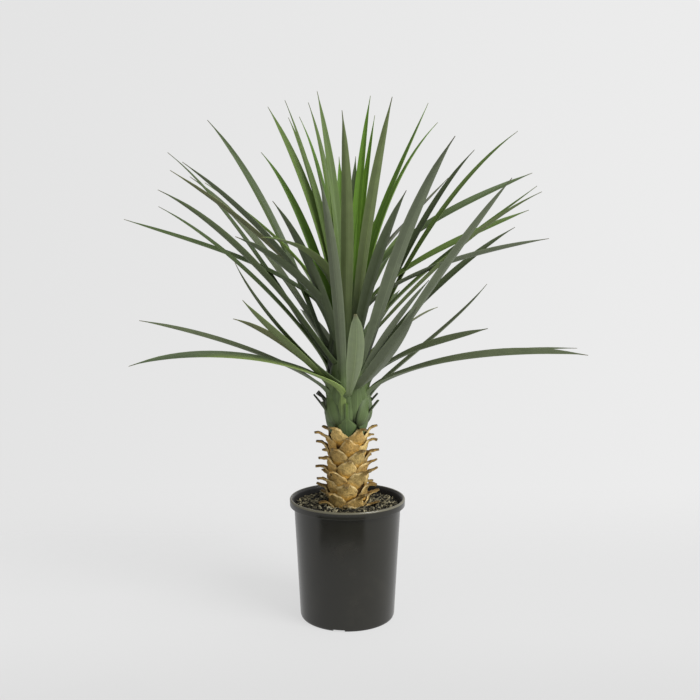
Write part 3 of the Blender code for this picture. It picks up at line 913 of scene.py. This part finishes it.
# %% Leaf table
LEAVES = (
    (0.391, 0.11, -0.351, -0.090, 0.446, 0.200, 0.00, 0.019, -60, 62, "lime"),
    (0.386, 0.12, 0.395, -0.060, 0.461, 0.140, 0.00, 0.021, 60, -16, "grey"),
    (0.391, -0.01, 0.012, -0.2695, 0.538, -0.035, 0.04, 0.024, 0, 0, "pale"),
    (0.388, 0.11, -0.340, -0.060, 0.518, 0.085, 0.00, 0.018, -40, 21, "grey"),
    (0.388, 0.12, 0.407, 0.050, 0.463, 0.083, 0.05, 0.014, 40, 0, "grey"),
    (0.418, -0.04, -0.181, -0.100, 0.523, 0.111, 0.00, 0.022, 35, 0, "olive"),
    (0.402, 0.20, 0.230, -0.060, 0.505, 0.087, 0.00, 0.021, 60, 0, "grey"),
    (0.398, 0.11, -0.163, -0.120, 0.553, -0.022, 0.00, 0.022, 25, 0, "green"),
    (0.420, 0.12, 0.175, 0.200, 0.530, 0.106, 0.00, 0.020, -40, 0, "olive"),
    (0.374, 0.12, 0.252, 0.090, 0.576, -0.050, 0.00, 0.017, 0, 0, "grey"),
    (0.410, 0.00, -0.180, -0.080, 0.613, -0.113, 0.01, 0.018, 10, 40, "deep"),
    (0.406, -0.04, 0.102, -0.210, 0.546, -0.057, 0.00, 0.025, -45, 0, "grey"),
    (0.419, 0.12, 0.129, -0.100, 0.584, 0.045, 0.00, 0.022, 0, 0, "grey"),
    (0.400, 0.14, 0.020, 0.350, 0.460, 0.14, 0.00, 0.024, 20, 0, "green"),
    (0.405, 0.14, -0.100, 0.340, 0.520, 0.08, 0.00, 0.022, -25, 0, "grey"),
    (0.415, 0.14, 0.110, 0.360, 0.560, 0.06, 0.00, 0.022, 15, 0, "deep"),
    (0.515, 0.18, 0.327, -0.060, 0.651, 0.104, 0.00, 0.016, -55, 0, "grey"),
    (0.500, 0.19, -0.4067, 0.110, 0.693, 0.055, -0.08, 0.017, -40, 0, "deep"),
    (0.428, 0.08, 0.295, 0.060, 0.676, 0.099, -0.02, 0.018, 50, 0, "dusky"),
    (0.517, 0.18, 0.319, 0.060, 0.706, 0.077, 0.01, 0.018, 60, 0, "green"),
    (0.528, 0.27, -0.125, -0.200, 0.647, 0.220, 0.03, 0.026, -20, 0, "green"),
    (0.503, 0.12, -0.169, -0.150, 0.650, 0.132, 0.02, 0.022, 25, 0, "dusky"),
    (0.430, 0.10, -0.332, 0.060, 0.712, 0.107, 0.00, 0.015, -30, 0, "deep"),
    (0.444, 0.00, -0.294, -0.110, 0.724, 0.143, 0.00, 0.017, 60, 30, "deep"),
    (0.479, 0.01, 0.314, -0.060, 0.726, 0.108, 0.00, 0.014, -45, 0, "green"),
    (0.418, -0.04, 0.254, -0.120, 0.741, 0.021, -0.04, 0.021, -50, -8, "grey"),
    (0.466, 0.18, 0.337, 0.080, 0.750, 0.036, 0.02, 0.015, 20, 0, "green"),
    (0.493, 0.20, -0.285, -0.060, 0.760, 0.093, 0.00, 0.016, 45, 0, "olive"),
    (0.485, 0.18, -0.259, -0.090, 0.769, 0.100, 0.00, 0.017, 40, 0, "dusky"),
    (0.472, 0.14, 0.090, -0.140, 0.720, 0.11, 0.00, 0.024, 0, 0, "dusky"),
    (0.482, 0.07, -0.114, -0.130, 0.705, 0.107, 0.00, 0.023, 0, 0, "dusky"),
    (0.420, 0.13, -0.041, -0.170, 0.739, 0.040, 0.03, 0.019, 0, 0, "grey"),
    (0.438, -0.03, 0.157, -0.190, 0.793, 0.100, -0.01, 0.024, -40, 0, "grey"),
    (0.440, 0.14, -0.030, 0.360, 0.620, 0.08, 0.00, 0.022, 10, 0, "green"),
    (0.455, 0.14, 0.070, 0.350, 0.670, 0.07, 0.00, 0.022, -20, 0, "grey"),
    (0.465, 0.14, -0.110, 0.330, 0.630, 0.07, 0.00, 0.022, 20, 0, "green"),
    (0.503, 0.26, -0.243, 0.020, 0.749, 0.101, 0.00, 0.018, 10, 0, "fresh"),
    (0.536, 0.23, 0.343, 0.150, 0.781, 0.093, -0.01, 0.019, 55, 0, "deep"),
    (0.456, 0.05, -0.293, 0.150, 0.774, 0.114, 0.00, 0.020, -20, 0, "grey"),
    (0.444, -0.02, -0.327, 0.120, 0.814, 0.097, 0.02, 0.017, 0, 0, "deep"),
    (0.524, 0.30, 0.187, 0.150, 0.772, 0.033, 0.04, 0.020, -50, 0, "bronze"),
    (0.473, 0.02, 0.222, 0.060, 0.810, 0.096, 0.00, 0.019, 35, 0, "dusky"),
    (0.450, 0.10, 0.297, 0.060, 0.842, 0.138, 0.00, 0.014, 45, 0, "green"),
    (0.485, 0.14, 0.120, 0.310, 0.690, 0.07, 0.00, 0.022, -15, 0, "green"),
    (0.495, 0.14, -0.060, 0.310, 0.740, 0.07, 0.00, 0.022, 15, 0, "grey"),
    (0.520, 0.14, 0.065, 0.180, 0.720, 0.08, 0.00, 0.020, -20, 0, "deep"),
    (0.520, 0.18, -0.020, 0.200, 0.771, 0.020, 0.00, 0.020, 0, 0, "fresh"),
    (0.498, 0.10, -0.159, 0.140, 0.817, 0.126, 0.00, 0.024, 5, 0, "fresh"),
    (0.520, 0.07, -0.016, 0.160, 0.812, 0.009, 0.00, 0.020, 0, 0, "fresh"),
    (0.530, 0.14, 0.015, 0.140, 0.810, 0.05, 0.00, 0.018, 0, 0, "deep"),
    (0.455, 0.02, -0.244, 0.060, 0.861, 0.103, 0.00, 0.018, -60, 0, "deep"),
    (0.480, 0.14, -0.008, -0.090, 0.849, 0.03, 0.03, 0.021, 0, 0, "green"),
    (0.525, 0.15, 0.156, 0.050, 0.855, 0.146, 0.00, 0.017, 5, 0, "fresh"),
    (0.500, 0.14, 0.069, -0.120, 0.863, 0.060, 0.00, 0.020, -10, 0, "green"),
    (0.515, 0.23, -0.146, 0.140, 0.899, 0.093, 0.00, 0.019, -20, 0, "green"),
    (0.530, 0.12, -0.113, 0.200, 0.891, 0.047, -0.03, 0.015, 0, 0, "green"),
    (0.530, 0.14, -0.114, 0.130, 0.909, 0.066, 0.00, 0.015, 30, 0, "green"),
    (0.530, 0.07, -0.089, 0.150, 0.883, 0.056, -0.06, 0.015, 30, 0, "fresh"),
    (0.530, 0.12, 0.050, 0.140, 0.884, 0.035, 0.00, 0.014, -30, 0, "fresh"),
    (0.528, 0.27, 0.146, 0.120, 0.902, 0.029, 0.01, 0.019, -20, 0, "fresh"),
    (0.530, 0.17, -0.071, 0.120, 0.903, 0.075, -0.02, 0.015, 20, 0, "green"),
    (0.530, 0.30, -0.055, 0.120, 0.923, -0.003, -0.04, 0.017, 0, 0, "green"),
    (0.530, 0.13, 0.042, 0.140, 0.919, -0.008, 0.03, 0.017, -20, 0, "fresh"),
)
print(len(LEAVES), "leaves")

# %% Stem and blade tables
# (height, radius)
STEM = (
    (0.3223, 0.0292),
    (0.334, 0.0314),
    (0.346, 0.0320),
    (0.374, 0.0298),
    (0.400, 0.0290),
    (0.460, 0.0240),
    (0.520, 0.0150),
    (0.570, 0.0060),
)
CLASP_LENGTH = 0.060
CLASP_LIFT = 0.006
CLASP_LIFT_POWER = 0.7
LOWEST_CLASP = 0.336
BLADE_ACROSS = 8
BLADE_ALONG = 42
CLASP_STATIONS = 14
BLADE_BALANCE = 0.5
CLASP_BULGE = 0.0012
# The lowest leaves wrap the others, so their grips are wider, stand out further and are
# turned round the stem towards their feet
WRAPPED_FORK = 0.390
WRAP_FADE = 0.002
WRAP_ANGLE = math.radians(28)
WRAP_WIDER = 0.16
WRAP_BULGE = 0.0026
# Grips are wide where the stem is thick, and narrower high up
GRIP_WIDEST = 1.15
GRIP_LEAST = 0.35
GRIP_BELOW_FORK = 0.02
GRIP_STEM_RADIUS = 0.029
# A free blade starts a little outwards, bends most past its middle and lets go of the
# grip's direction over its first part
START_OUT = 0.03
BEND_AT = 0.62
GRIP_FADE = 0.35
TWIST_POWER = 1.5
# On the stem: (place from foot to fork, half width, cup, thickness, rim, power)
CLASP = (
    (-1.00, 0.0044, 0.0010, 0.0030, 0.5, 2.0),
    (-0.88, 0.0094, 0.0022, 0.0044, 0.4, 2.0),
    (-0.66, 0.0136, 0.0042, 0.0054, 0.3, 2.0),
    (-0.42, 0.0142, 0.0044, 0.0052, 0.3, 2.0),
    (-0.20, 0.0122, 0.0040, 0.0050, 0.3, 1.9),
)
# Free: (place along the curve, part of half the leaf's width, cup as a part of that half
# width, thickness, rim, power)
FREE = (
    (0.00, 0.90, 0.42, 0.0044, 0.35, 1.7),
    (0.14, 0.84, 0.44, 0.0030, 0.35, 1.2),
    (0.32, 0.92, 0.42, 0.0024, 0.35, 1.12),
    (0.52, 1.00, 0.40, 0.0021, 0.35, 1.12),
    (0.72, 0.84, 0.38, 0.0018, 0.35, 1.12),
    (0.88, 0.46, 0.36, 0.0014, 0.35, 1.12),
    (1.00, 0.04, 0.30, 0.0010, 0.60, 1.12),
)
# The young leaf that stands out in front has a narrow stalk and a broad blunt blade
SPOON = (
    (0.00, 0.56, 0.40, 0.0034, 0.35, 1.3),
    (0.18, 0.46, 0.46, 0.0028, 0.35, 1.2),
    (0.40, 0.72, 0.40, 0.0024, 0.35, 1.12),
    (0.60, 1.04, 0.34, 0.0021, 0.35, 1.12),
    (0.78, 1.00, 0.32, 0.0018, 0.35, 1.2),
    (0.92, 0.62, 0.30, 0.0016, 0.35, 1.4),
    (1.00, 0.16, 0.30, 0.0012, 0.60, 1.4),
)


def stem_radius(height):
    return read(STEM, height)[0]


# %% Path of one leaf
def leaf_path(fork, rise, tip_x, tip_y, tip_z, bow, sweep, width, twist, turn, free):
    up = Vector((0, 0, 1))
    bearing = math.atan2(tip_y, tip_x) + math.radians(turn)
    outward, grip_side = directions(bearing)
    root = outward * (stem_radius(fork) + CLASP_LIFT) + up * fork
    tip = Vector((tip_x, tip_y, tip_z))
    chord = tip - root
    length = chord.length
    side = up.cross(chord).normalized()
    above = chord.cross(side).normalized()
    start = root + up * rise * length + outward * START_OUT * length
    bend = root + chord * BEND_AT + above * bow * length + side * sweep * length
    clasp = min(CLASP_LENGTH, fork - LOWEST_CLASP)
    stem_part = stem_radius(fork - GRIP_BELOW_FORK) / GRIP_STEM_RADIUS
    grip = min(GRIP_WIDEST * free[0][1], GRIP_LEAST + (1 - GRIP_LEAST) * stem_part)
    wrap = part_of((WRAPPED_FORK - fork) / WRAP_FADE)
    grip *= 1 + WRAP_WIDER * wrap
    slant = math.copysign(WRAP_ANGLE, turn) * wrap if turn else 0.0
    shape = [(at, half * grip, cup * grip, *rest) for at, half, cup, *rest in CLASP]
    for at, part, cup, *rest in free:
        half = part * width / 2
        shape.append((at, half, cup * half, *rest))
    path = []
    for i in range(BLADE_ALONG + 1):
        if i < CLASP_STATIONS:
            at = i / CLASP_STATIONS - 1
            height = fork + clasp * at
            bulge = (CLASP_BULGE + WRAP_BULGE * wrap) * math.sin(math.pi * (1 + at))
            lift = CLASP_LIFT * (1 + at) ** CLASP_LIFT_POWER + bulge
            around, across = directions(bearing - slant * at)
            centre = around * (stem_radius(height) + lift) + up * height
        else:
            at = (i - CLASP_STATIONS) / (BLADE_ALONG - CLASP_STATIONS)
            s = 1 - at
            centre = root * s**3 + start * 3 * s * s * at + bend * 3 * s * at * at
            centre += tip * at**3
            twisting = math.radians(twist) * at**TWIST_POWER
            twisted = Matrix.Rotation(twisting, 3, chord) @ side
            across = grip_side.lerp(twisted, min(1.0, at / GRIP_FADE))
        path.append((centre, across, *read(shape, at)))
    return path


# %% [markdown]
# Living leaves differ: the young upright ones are fresh green, older ones duller, greyer or
# bronzed. The deep kind is a darker green that paints the shade on leaves that lie in it. Each
# kind names a colour for the upper face, which faces the stem, and one for the underside,
# which a bloom makes greyer. All share the green of the base and end in a few dry millimetres.
# Their rims are light, partly as a paler margin and partly as a painted highlight. On the stem
# the rims and the foot are instead painted dark as shade, since no light gets between two
# grips. So is the base of a leaf that forks deep inside the head. One low leaf has a lime
# half, where light comes through it.

# %% Leaf colours, point by point
KINDS = {
    "fresh": (seen(98, 136, 40), seen(112, 136, 60)),
    "green": (seen(92, 115, 52), seen(103, 117, 71)),
    "grey": (seen(91, 101, 71), seen(102, 111, 87)),
    # The deep kind is painted shade: a darker copy of the green for leaves in shade
    "deep": (seen(78, 95, 54), seen(86, 99, 64)),
    "olive": (seen(103, 113, 60), seen(102, 107, 70)),
    "dusky": (seen(73, 85, 54), seen(83, 94, 66)),
    "bronze": (seen(88, 92, 68), seen(92, 96, 74)),
    "pale": (seen(118, 136, 88), seen(124, 138, 100)),
    "lime": (seen(84, 98, 68), seen(92, 104, 76)),
}
LEAF_BASE = seen(90, 108, 64)
# Painted shade, for the rims and feet of grips and the bases of deep leaves
CREVICE_SHADE = seen(34, 42, 22)
LIME_HALF = seen(132, 152, 84)
DRY_TIP = seen(96, 78, 48)
STEM_GREEN = seen(44, 58, 32)
# Rims are lighter: partly a paler margin, partly a painted highlight
RIM_LIGHT = 1.28
# (where it starts or ends, how fast it changes), along the leaf
KIND_FROM = (0.30, 4.5)
TIP_FROM = (0.985, 40.0)
CLASP_TO = (0.36, 8)
FOOT_TO = (0.10, 8.0)
# The same across the leaf, and for the fork's height
LIGHT_RIM = (0.74, 5)
CREVICE_RIM = (0.80, 4.0)
DEEP_FORK = (0.43, 30)
# The shade at the base of a deep leaf, and the stretch of the lime half along and across
SHADE_TO, SHADE_RATE = 0.54, 2.4
LIME_ALONG, LIME_RATE = (0.12, 0.85), 4
LIME_EDGE, LIME_ACROSS_RATE = -0.591, 2.2


def leaf_paint(kind, tone, fork):
    upper, under = KINDS[kind]
    shade = rising(fork, *DEEP_FORK)

    def paint(x, y, z):
        colour = blended(LEAF_BASE, upper if z > 0 else under, rising(y, *KIND_FROM))
        if kind == "lime":
            low, high = LIME_ALONG
            on_stretch = min(1.0, (y - low) * LIME_RATE, (high - y) * LIME_RATE)
            lime = rising(x, LIME_EDGE, LIME_ACROSS_RATE * on_stretch)
            colour = blended(colour, LIME_HALF, lime)
        colour = blended(colour, DRY_TIP, rising(y, *TIP_FROM))
        # Lighter rims, partly a paler margin and partly a painted highlight
        light = tone * (1 + (RIM_LIGHT - 1) * rising(abs(x), *LIGHT_RIM))
        colour = tuple(value * light for value in colour)
        # On the stem the rims, the foot and the base of a deep leaf get painted shade
        on_clasp = falling(y, *CLASP_TO)
        colour = blended(colour, CREVICE_SHADE, rising(abs(x), *CREVICE_RIM) * on_clasp)
        colour = blended(colour, CREVICE_SHADE, falling(y, SHADE_TO, SHADE_RATE * shade))
        return blended(colour, CREVICE_SHADE, falling(y, *FOOT_TO))

    return paint


# %% Grow the leaves
STEM_CAP = 0.004
TONES = (0.92, 1.08)


def grown_crown():
    chance = random.Random(11)
    line = [(0.0, STEM[0][0])] + [(radius, height) for height, radius in STEM]
    line.append((0.0, STEM[-1][0] + STEM_CAP))
    bm = spun(line, ROUND_STEPS)
    bm.loops.layers.uv.new("blade")
    colour = bm.verts.layers.float_color.new("paint")
    for vert in bm.verts:
        vert[colour] = (*STEM_GREEN, 1.0)
    sheet = flat_sheet(BLADE_ACROSS, BLADE_ALONG)
    for *shape, kind in LEAVES:
        path = leaf_path(*shape, SPOON if kind == "pale" else FREE)
        paint = leaf_paint(kind, chance.uniform(*TONES), shape[0])
        add_blade(bm, sheet, BLADE_ALONG, path, paint, BLADE_BALANCE)
    return bm


crown_bm = grown_crown()

# %% [markdown]
# ## Cut leaves at the neck
# Between the living leaves and the dry bases sit those that were cut off last: green
# shields, each with a stub that has dried dark. They use the same base path as the
# trunk's. The one in front lies flat along the neck, and its stub is still green.

# %% Cut leaves
# (direction in degrees, height, how far the stub reaches out and up, half its end's
# width, how far it has dried)
CUT_LEAVES = (
    (-91, 0.3375, 0.0048, 0.0240, 0.0044, 0.0),
    (-30, 0.3400, 0.0230, 0.0260, 0.0028, 0.5),
    (-150, 0.3420, 0.0120, 0.0200, 0.0034, 0.6),
    (35, 0.3420, 0.0140, 0.0200, 0.0030, 0.8),
    (92, 0.3400, 0.0140, 0.0200, 0.0030, 1.0),
    (148, 0.3430, 0.0140, 0.0200, 0.0030, 0.7),
    (7, 0.3560, 0.0158, 0.0170, 0.0024, 0.7),
    (176, 0.3460, 0.0212, 0.0252, 0.0023, 0.5),
    (-170, 0.3640, 0.0145, 0.0125, 0.0066, 1.0),
    (65, 0.3530, 0.0140, 0.0200, 0.0030, 0.8),
    (118, 0.3550, 0.0140, 0.0200, 0.0030, 0.9),
)
LOWEST_SHIELD = 0.3165
SHIELD_FOOT = seen(66, 88, 50)
STUB_DARK = seen(34, 36, 22)
FRESH_MIDRIB = seen(118, 152, 62)
BASE_GREEN_FROM = (0.0, 1.6)
SHIELD_LIGHT_RIM = (0.56, 4)
SHIELD_CREVICE_RIM = (0.86, 6.0)
MIDRIB_WITHIN = (0.625, 1.6)
MIDRIB_FROM = (0.66, 2.2)
DRIED_FROM = (0.70, 4.0)


def shield_paint(dried):
    def paint(x, y, z):
        colour = blended(SHIELD_FOOT, LEAF_BASE, rising(y, *BASE_GREEN_FROM))
        # Lighter rims, partly a paler margin and partly a painted highlight
        light = 1 + (RIM_LIGHT - 1) * rising(abs(x), *SHIELD_LIGHT_RIM)
        colour = tuple(value * light for value in colour)
        # The fresh shield's midrib is paler green, partly its own colour and partly a painted
        # highlight
        if not dried:
            midrib = falling(abs(x), *MIDRIB_WITHIN) * rising(y, *MIDRIB_FROM)
            colour = blended(colour, FRESH_MIDRIB, midrib)
        # The outermost rims are painted dark, as the shadow where a shield overlaps its
        # neighbour
        colour = blended(colour, CREVICE_SHADE, rising(abs(x), *SHIELD_CREVICE_RIM))
        return blended(colour, STUB_DARK, rising(y, *DRIED_FROM) * dried)

    return paint


shield_sheet = flat_sheet(BASE_ACROSS, BASE_ALONG)
for degrees, height, reach, rise, end_width, dried in CUT_LEAVES:
    path = base_path(
        math.radians(degrees), height, stem_radius, SHIELD_SHAPE, 0.0, reach, rise, 0.0,
        end_width, LOWEST_SHIELD,
    )
    add_blade(crown_bm, shield_sheet, BASE_ALONG, path, shield_paint(dried))
print(len(CUT_LEAVES), "cut leaves")

# %% [markdown]
# A yucca leaf is satin, with fine veins that run its whole length and a waxy bloom that
# breaks up its sheen. The veins are noise stretched along the blade's own map, and the
# keel down the middle is a narrow pale line on that map.

# %% Living leaf finish
green = Finish("living yucca leaf", 0.46, 0.35)
leaf_map = green.node("ShaderNodeUVMap", {"uv_map": "blade"})
split = green.node("ShaderNodeSeparateXYZ", None, {0: leaf_map})
from_keel = abs(split - 0.5)
keel = 1 - from_keel.step(0.006, 0.030)
vein = green.grain(green.stretched(leaf_map, (34, 1.4, 1)), 1.0, 3.0)
bloom = green.grain(green.object_place(), 0.018, 4.0, 0.6)
lit = 0.94 + (vein - 0.5) * 0.62 + (bloom - 0.5) * 0.40 + keel * 0.34
green.coloured(green.brightened(green.attribute("paint", "Color"), lit))
green.roughened(0.38 + bloom * 0.22)
green.bumped(vein * 0.8 + keel * 0.4, 0.0004)
finished("leaf_crown_blades", crown_bm, green, "leaf_crown", 45)

# %% [markdown]
# ## Finish

# %% Close
bpy.context.view_layer.update()
